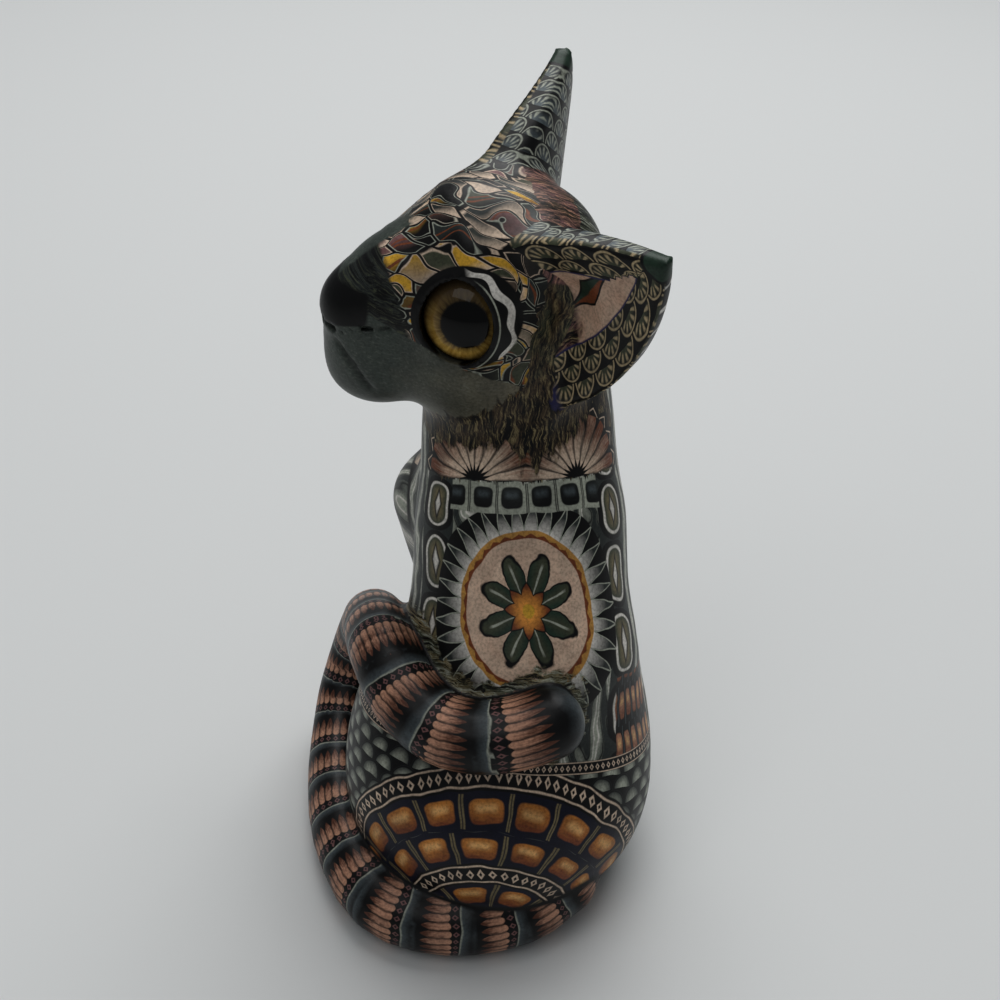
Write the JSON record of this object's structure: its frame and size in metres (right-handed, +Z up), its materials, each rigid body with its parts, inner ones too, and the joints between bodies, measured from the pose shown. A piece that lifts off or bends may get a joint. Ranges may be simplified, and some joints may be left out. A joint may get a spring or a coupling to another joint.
{
  "type": "cat figurine",
  "caption": "Seated cat figurine in polymer clay, head turned back over its shoulder, tail folded over the haunch, with glass eyes and patterned skin.",
  "frame": {"origin": "on the flat underside, below the middle of the belly", "axes": "+Z up; the body faces -Y, so +X is the cat's own left side; the head looks back towards +X and +Y"},
  "size_m": [0.0555, 0.0801, 0.1154],
  "materials": {
    "patterned_clay": "satin baked polymer clay, patterned slices",
    "eye_glass": "polished, amber iris painted behind the dome"
  },
  "bodies": {
    "root": {"clay_cat": "patterned_clay", "left_eye": "eye_glass", "right_eye": "eye_glass"}
  },
  "joints": []
}
